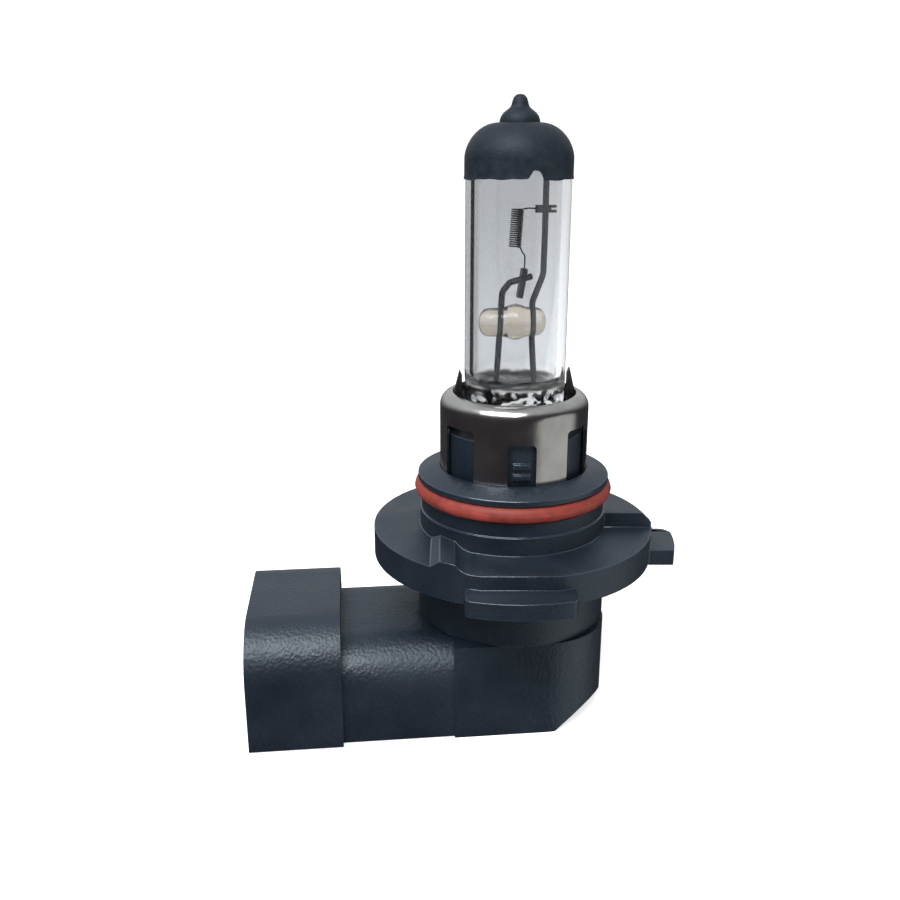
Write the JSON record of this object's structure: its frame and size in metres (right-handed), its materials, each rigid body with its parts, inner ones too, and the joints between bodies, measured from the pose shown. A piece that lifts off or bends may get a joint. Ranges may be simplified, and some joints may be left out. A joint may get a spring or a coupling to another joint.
{
  "type": "headlight bulb",
  "caption": "Halogen capsule bulb on a twist-lock plastic base with a sealing ring and a right-angle two-pin connector.",
  "frame": {"origin": "on the lamp axis, at the flange's top face", "axes": "+Z along the lamp axis towards the tip, -X the way the connector points"},
  "size_m": [0.05, 0.038, 0.0696],
  "materials": {
    "clear_glass": "polished",
    "bead_glass": "polished",
    "antiglare_coating": "matt",
    "tungsten": "drawn",
    "molybdenum": "drawn",
    "clip_steel": "stamped",
    "plated_sleeve": "plated",
    "base_plastic": "moulded",
    "connector_plastic": "spark textured",
    "seal_rubber": "satin",
    "tinned_brass": "tinned",
    "sealant": "poured"
  },
  "bodies": {
    "root": {"glass_envelope": "clear_glass", "antiglare_cap": "antiglare_coating", "filament": "tungsten", "upper_clamp": "molybdenum", "lower_clamp": "molybdenum", "long_support_wire": "molybdenum", "short_support_wire": "molybdenum", "bridge_bead": "bead_glass", "seal_foil_left": "molybdenum", "seal_foil_right": "molybdenum", "outer_lead_left": "molybdenum", "outer_lead_right": "molybdenum", "pinch_clip_front": "clip_steel", "pinch_clip_back": "clip_steel", "holder_cup": "plated_sleeve", "base_housing": "base_plastic", "o_ring": "seal_rubber", "connector_housing": "connector_plastic", "terminal_left": "tinned_brass", "terminal_right": "tinned_brass", "sealing_compound": "sealant"}
  },
  "joints": []
}
